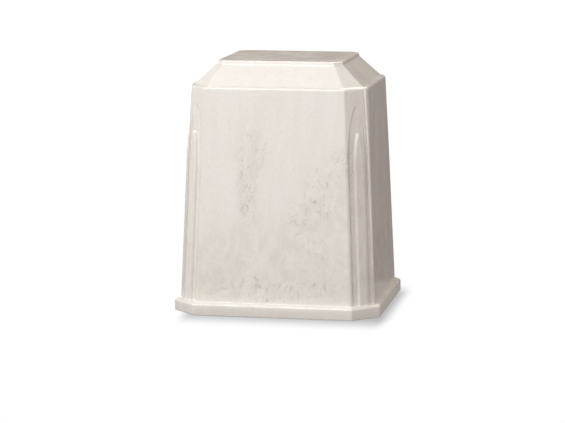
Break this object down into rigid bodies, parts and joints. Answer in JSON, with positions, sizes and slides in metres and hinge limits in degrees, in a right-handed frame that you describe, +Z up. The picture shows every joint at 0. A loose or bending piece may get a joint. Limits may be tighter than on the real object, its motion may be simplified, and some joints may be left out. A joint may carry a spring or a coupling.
{
  "type": "cremation urn",
  "caption": "Upright cast marble urn with clipped corners, a projecting foot, round-headed corner flutes, each with a raised reed, and a hipped top; hollow, closed by a round plug underneath.",
  "frame": {"origin": "middle of the flat underside of the foot, on the surface the urn stands on", "axes": "+Z up; the front face looks along -Y; the wider sides run along X"},
  "size_m": [0.191, 0.173, 0.229],
  "materials": {
    "marble": "polished warm off-white cultured marble with soft grey-beige veins",
    "plug": "moulded dark plastic, satin"
  },
  "bodies": {
    "root": {"urn_body": "marble", "base_plug": "plug"}
  },
  "joints": []
}
